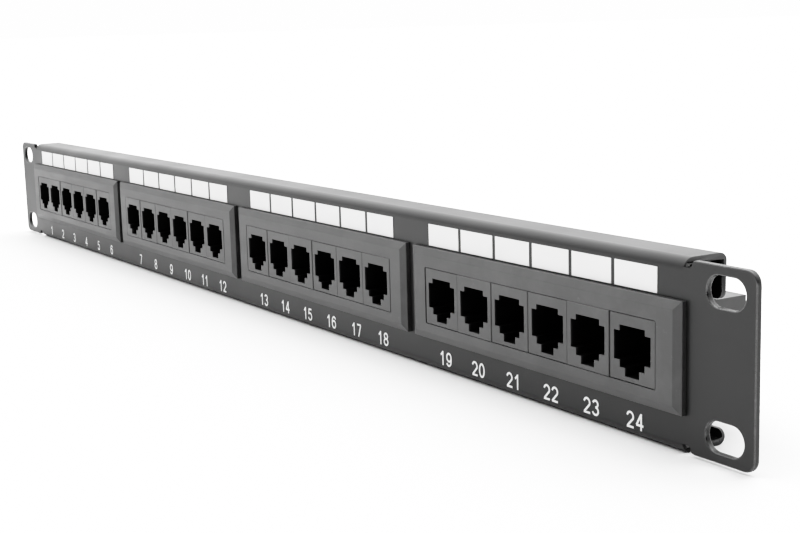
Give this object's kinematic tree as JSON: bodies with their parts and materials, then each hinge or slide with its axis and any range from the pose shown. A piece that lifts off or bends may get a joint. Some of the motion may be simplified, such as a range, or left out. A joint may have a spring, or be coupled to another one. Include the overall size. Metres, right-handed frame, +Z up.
{
  "type": "patch panel",
  "caption": "Rack-mount copper patch panel: folded steel front with slotted ears, port modules with RJ45 jacks and write-on labels, and wiring blocks behind.",
  "frame": {"origin": "middle of the four rack slots, on the rear face of the rack ears", "axes": "+X to the right seen from the front, +Y towards the rear, +Z up"},
  "size_m": [0.4826, 0.0323, 0.044],
  "materials": {
    "panel_paint": "satin black powder coat",
    "housing_plastic": "fine moulded texture",
    "jack_plastic": "fine moulded texture",
    "contact_gold": "gold-plated spring wire",
    "board_green": "solder-masked laminate",
    "block_plastic": "moulded",
    "blade_metal": "tinned bronze",
    "screw_steel": "zinc plated",
    "label_white": "write-on film"
  },
  "bodies": {
    "root": {"chassis": "panel_paint", "housing_1": "housing_plastic", "jack_contacts_1": "contact_gold", "circuit_board_1": "board_green", "idc_block_1": "block_plastic", "idc_contacts_1": "blade_metal", "block_screws_1": "screw_steel", "label_strip_1": "label_white", "housing_2": "housing_plastic", "jack_contacts_2": "contact_gold", "circuit_board_2": "board_green", "idc_block_2": "block_plastic", "idc_contacts_2": "blade_metal", "block_screws_2": "screw_steel", "label_strip_2": "label_white", "housing_3": "housing_plastic", "jack_contacts_3": "contact_gold", "circuit_board_3": "board_green", "idc_block_3": "block_plastic", "idc_contacts_3": "blade_metal", "block_screws_3": "screw_steel", "label_strip_3": "label_white", "housing_4": "housing_plastic", "jack_contacts_4": "contact_gold", "circuit_board_4": "board_green", "idc_block_4": "block_plastic", "idc_contacts_4": "blade_metal", "block_screws_4": "screw_steel", "label_strip_4": "label_white", "jack_01": "jack_plastic", "jack_02": "jack_plastic", "jack_03": "jack_plastic", "jack_04": "jack_plastic", "jack_05": "jack_plastic", "jack_06": "jack_plastic", "jack_07": "jack_plastic", "jack_08": "jack_plastic", "jack_09": "jack_plastic", "jack_10": "jack_plastic", "jack_11": "jack_plastic", "jack_12": "jack_plastic", "jack_13": "jack_plastic", "jack_14": "jack_plastic", "jack_15": "jack_plastic", "jack_16": "jack_plastic", "jack_17": "jack_plastic", "jack_18": "jack_plastic", "jack_19": "jack_plastic", "jack_20": "jack_plastic", "jack_21": "jack_plastic", "jack_22": "jack_plastic", "jack_23": "jack_plastic", "jack_24": "jack_plastic"}
  },
  "joints": []
}
